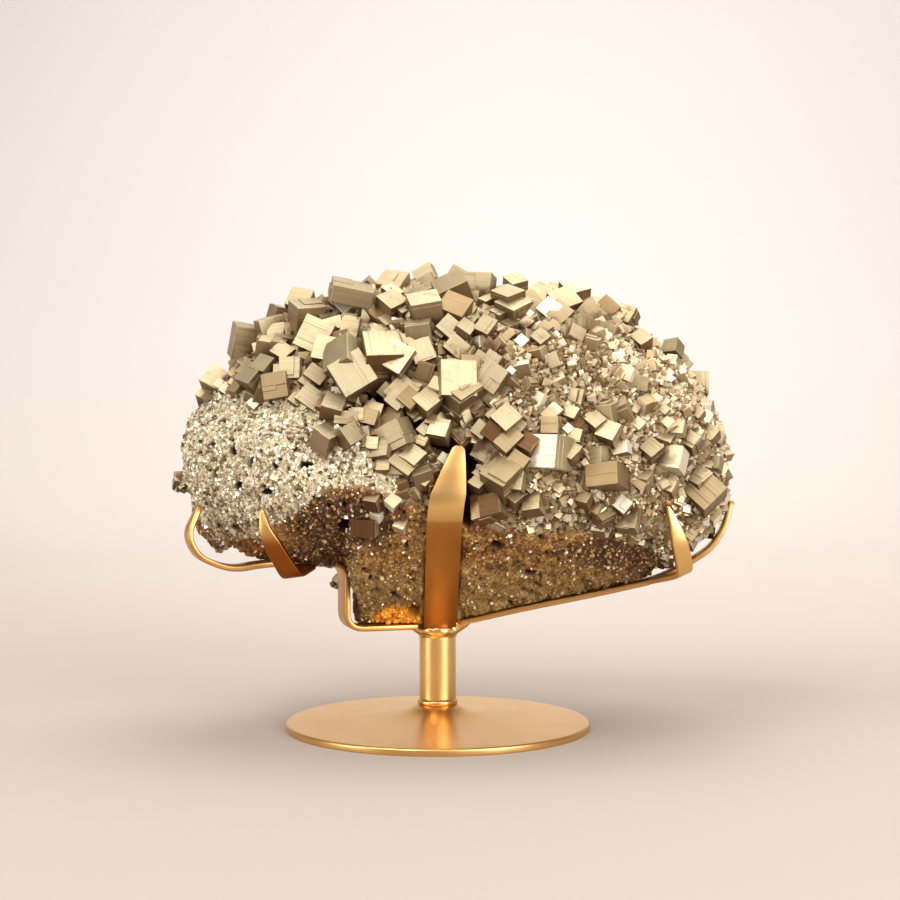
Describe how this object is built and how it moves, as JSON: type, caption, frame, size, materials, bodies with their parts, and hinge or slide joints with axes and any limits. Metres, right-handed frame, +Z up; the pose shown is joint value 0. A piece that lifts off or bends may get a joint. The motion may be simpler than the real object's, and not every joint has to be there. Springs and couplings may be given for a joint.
{
  "type": "pyrite specimen on a metal stand",
  "caption": "Natural pyrite cluster of cubic crystals over rough matrix, held by prongs on a round-based metal stand that stands on any flat surface.",
  "frame": {"origin": "centre of the underside of the round base, on the axis of the post", "axes": "+Z up along the post; +X to the right along the stone's long axis; -Y towards the front"},
  "size_m": [0.3015, 0.1893, 0.2525],
  "materials": {
    "pyrite": "pale brassy cubic crystals with fine striations, sugary crust and rough brown matrix",
    "gold_metal": "satin gold"
  },
  "bodies": {
    "root": {"pyrite": "pyrite", "base_plate": "gold_metal", "post": "gold_metal", "front_prong": "gold_metal", "left_arm": "gold_metal", "left_prong": "gold_metal", "right_arm": "gold_metal", "right_prong": "gold_metal", "rear_prong": "gold_metal"}
  },
  "joints": []
}
